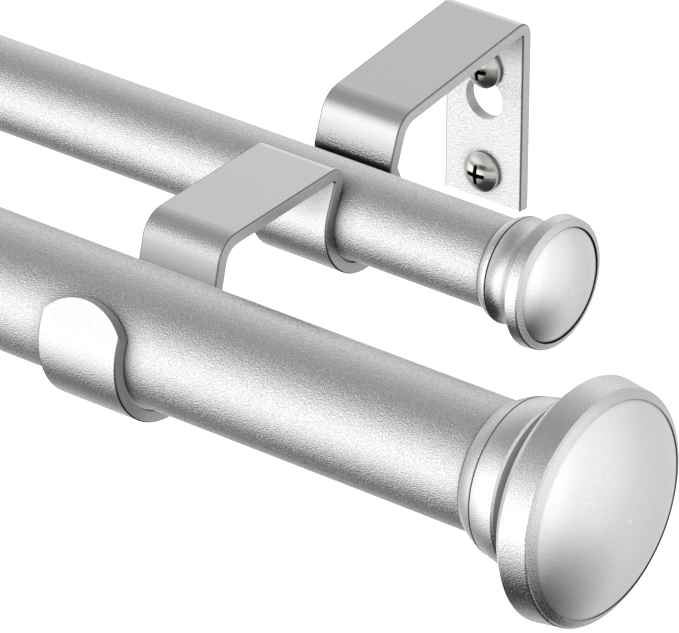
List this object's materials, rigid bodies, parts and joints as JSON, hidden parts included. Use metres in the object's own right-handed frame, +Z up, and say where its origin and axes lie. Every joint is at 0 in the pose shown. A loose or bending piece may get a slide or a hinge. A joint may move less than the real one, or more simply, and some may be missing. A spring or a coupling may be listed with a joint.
{
  "type": "double curtain pole",
  "caption": "Telescoping double curtain pole: a thick front pole and a thinner rear pole with flared disc finials, in bent flat-strip wall brackets with keyhole plates and wall screws.",
  "frame": {"origin": "centre of the rectangle that the four wall screws stand on, in the plane of the wall", "axes": "+X along the poles towards the finials that the picture shows, -Y out into the room, +Z up; the wall is the plane Y = 0"},
  "size_m": [0.7684, 0.1418, 0.051],
  "materials": {
    "satin_silver_paint": "satin silver paint with a fine orange-peel grain",
    "bracket_silver_paint": "smooth matt silver paint",
    "finial_silver_paint": "semi-gloss silver paint",
    "plated_screw": "bright zinc plate",
    "sleeve_plastic": "grey moulded plastic"
  },
  "bodies": {
    "root": {"bracket_right": "bracket_silver_paint", "bracket_left": "bracket_silver_paint", "wall_screws": "plated_screw", "front_outer_tube": "satin_silver_paint", "front_finial_right": "finial_silver_paint", "front_finial_face_right": "finial_silver_paint", "rear_outer_tube": "satin_silver_paint", "rear_finial_right": "finial_silver_paint", "rear_finial_face_right": "finial_silver_paint"},
    "front_pole_end": {"front_inner_tube": "satin_silver_paint", "front_finial_left": "finial_silver_paint", "front_finial_face_left": "finial_silver_paint", "front_adapter_sleeve": "sleeve_plastic"},
    "rear_pole_end": {"rear_inner_tube": "satin_silver_paint", "rear_finial_left": "finial_silver_paint", "rear_finial_face_left": "finial_silver_paint", "rear_adapter_sleeve": "sleeve_plastic"}
  },
  "joints": [
    {"name": "front_pole_extend", "type": "slide", "parent": "root", "child": "front_pole_end", "axis": [-1, 0, 0], "range_m": [-0.018, 0.483]},
    {"name": "rear_pole_extend", "type": "slide", "parent": "root", "child": "rear_pole_end", "axis": [-1, 0, 0], "range_m": [-0.018, 0.483]}
  ]
}
